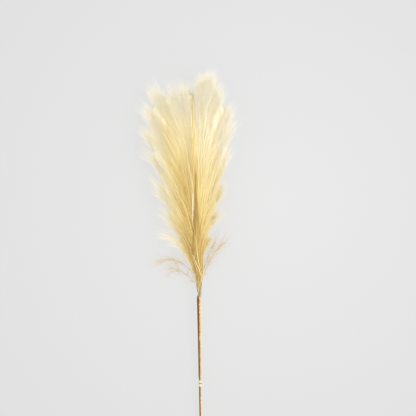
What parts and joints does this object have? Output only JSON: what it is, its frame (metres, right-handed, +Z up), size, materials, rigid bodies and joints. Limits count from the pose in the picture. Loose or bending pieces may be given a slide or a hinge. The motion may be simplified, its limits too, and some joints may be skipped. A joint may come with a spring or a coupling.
{
  "type": "pampas grass stem",
  "caption": "Cut stem of pampas grass with a full feathery plume, lying on a surface, for vases and dried arrangements.",
  "frame": {"origin": "on the surface that the stem lies on, under the middle of its whole length and width", "axes": "+Y along the stem towards the tip of the plume, +Z up from the surface"},
  "size_m": [0.215, 1.0022, 0.1238],
  "materials": {
    "culm": "dry straw, satin",
    "leaf_sheath": "dry leaf, satin",
    "plume": "soft silky hair"
  },
  "bodies": {
    "root": {"culm": "culm", "leaf_sheath": "leaf_sheath", "branch_base_1": "plume", "branch_base_2": "plume", "branch_base_3": "plume", "branch_base_4": "plume", "branch_base_5": "plume", "branch_base_6": "plume", "branch_crown_1": "plume", "branch_crown_2": "plume", "branch_crown_3": "plume", "branch_high_1": "plume", "branch_high_2": "plume", "branch_high_3": "plume", "branch_high_4": "plume", "branch_high_5": "plume", "branch_high_6": "plume", "branch_low_1": "plume", "branch_low_2": "plume", "branch_low_3": "plume", "branch_low_4": "plume", "branch_low_5": "plume", "branch_low_6": "plume", "branch_lower_1": "plume", "branch_lower_2": "plume", "branch_lower_3": "plume", "branch_lower_4": "plume", "branch_lower_5": "plume", "branch_lower_6": "plume", "branch_lower_7": "plume", "branch_lower_8": "plume", "branch_middle_1": "plume", "branch_middle_2": "plume", "branch_middle_3": "plume", "branch_middle_4": "plume", "branch_middle_5": "plume", "branch_middle_6": "plume", "branch_middle_7": "plume", "branch_middle_8": "plume", "branch_top_1": "plume", "branch_top_2": "plume", "branch_top_3": "plume", "branch_top_4": "plume", "branch_top_5": "plume", "branch_top_6": "plume", "branch_upper_1": "plume", "branch_upper_2": "plume", "branch_upper_3": "plume", "branch_upper_4": "plume", "branch_upper_5": "plume", "branch_upper_6": "plume", "branch_upper_7": "plume", "branch_upper_8": "plume", "stray_branch_left_1": "plume", "stray_branch_left_2": "plume", "stray_branch_right_1": "plume", "stray_branch_right_2": "plume"}
  },
  "joints": []
}
